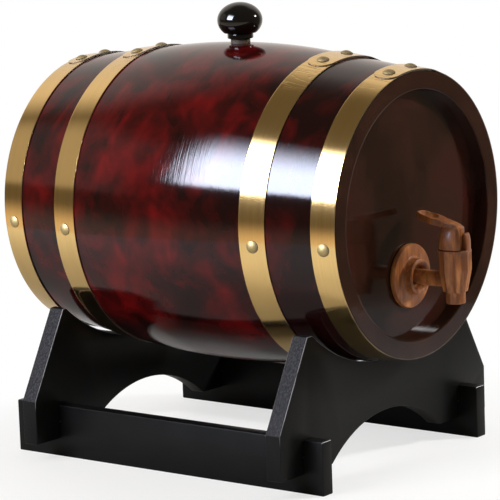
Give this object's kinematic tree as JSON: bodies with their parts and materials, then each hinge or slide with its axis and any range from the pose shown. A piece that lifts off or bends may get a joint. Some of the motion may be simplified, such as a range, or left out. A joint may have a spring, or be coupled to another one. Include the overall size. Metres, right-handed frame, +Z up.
{
  "type": "cask drink dispenser",
  "caption": "Small horizontal oak cask for liquor on a black slotted stand, with brass hoops, a turned wooden tap with a swivel key, and a cork stopper with a ball knob.",
  "frame": {"origin": "on the floor, at the middle of the space that the whole object takes up in X and Y", "axes": "+Z up; Y along the cask's axis, with the tap at the -Y end; X across the cask"},
  "size_m": [0.2356, 0.31, 0.2998],
  "materials": {
    "stave_lacquer": "dark mahogany-red high-gloss lacquer over oak",
    "head_lacquer": "near-black brown semi-gloss lacquer over oak",
    "hoop_brass": "brushed along the strap",
    "rivet_brass": "satin",
    "knob_black": "gloss black",
    "cork_brown": "matt natural cork",
    "tap_wood": "oiled, satin",
    "dowel_wood": "bare",
    "stand_black": "satin black stain, worn at the edges"
  },
  "bodies": {
    "stand": {"stand_front_board": "stand_black", "stand_rear_board": "stand_black", "stand_left_rail": "stand_black", "stand_right_rail": "stand_black"},
    "cask": {"bung_stave": "stave_lacquer", "stave_01": "stave_lacquer", "stave_02": "stave_lacquer", "stave_03": "stave_lacquer", "stave_04": "stave_lacquer", "stave_05": "stave_lacquer", "stave_06": "stave_lacquer", "stave_07": "stave_lacquer", "stave_08": "stave_lacquer", "stave_09": "stave_lacquer", "stave_10": "stave_lacquer", "stave_11": "stave_lacquer", "stave_12": "stave_lacquer", "stave_13": "stave_lacquer", "stave_14": "stave_lacquer", "stave_15": "stave_lacquer", "front_head_left_board": "head_lacquer", "front_head_centre_board": "head_lacquer", "front_head_right_board": "head_lacquer", "rear_head_left_board": "head_lacquer", "rear_head_centre_board": "head_lacquer", "rear_head_right_board": "head_lacquer", "front_left_lower_dowel": "dowel_wood", "front_left_upper_dowel": "dowel_wood", "front_right_lower_dowel": "dowel_wood", "front_right_upper_dowel": "dowel_wood", "rear_left_lower_dowel": "dowel_wood", "rear_left_upper_dowel": "dowel_wood", "rear_right_lower_dowel": "dowel_wood", "rear_right_upper_dowel": "dowel_wood", "front_hoop": "hoop_brass", "front_bilge_hoop": "hoop_brass", "rear_bilge_hoop": "hoop_brass", "rear_hoop": "hoop_brass", "front_hoop_rivet_lap_near": "rivet_brass", "front_hoop_rivet_lap_far": "rivet_brass", "front_hoop_rivet_left": "rivet_brass", "front_hoop_rivet_right": "rivet_brass", "front_bilge_hoop_rivet_lap_near": "rivet_brass", "front_bilge_hoop_rivet_lap_far": "rivet_brass", "front_bilge_hoop_rivet_left": "rivet_brass", "front_bilge_hoop_rivet_right": "rivet_brass", "rear_bilge_hoop_rivet_lap_near": "rivet_brass", "rear_bilge_hoop_rivet_lap_far": "rivet_brass", "rear_bilge_hoop_rivet_left": "rivet_brass", "rear_bilge_hoop_rivet_right": "rivet_brass", "rear_hoop_rivet_lap_near": "rivet_brass", "rear_hoop_rivet_lap_far": "rivet_brass", "rear_hoop_rivet_left": "rivet_brass", "rear_hoop_rivet_right": "rivet_brass", "tap_body": "tap_wood", "tap_rosette": "tap_wood"},
    "stopper": {"stopper_knob": "knob_black", "stopper_cork": "cork_brown"},
    "key": {"tap_key": "tap_wood"}
  },
  "joints": [
    {"name": "cask_lift", "type": "slide", "parent": "stand", "child": "cask", "axis": [0, 0, 1], "range_m": [0, 0.1]},
    {"name": "stopper_pull", "type": "slide", "parent": "cask", "child": "stopper", "axis": [0, 0, 1], "range_m": [0, 0.045]},
    {"name": "tap_key_turn", "type": "hinge", "parent": "cask", "child": "key", "pos_m": [0, -0.1442, 0.1263], "axis": [0, 0, -1], "range_deg": [-20, 90]}
  ]
}
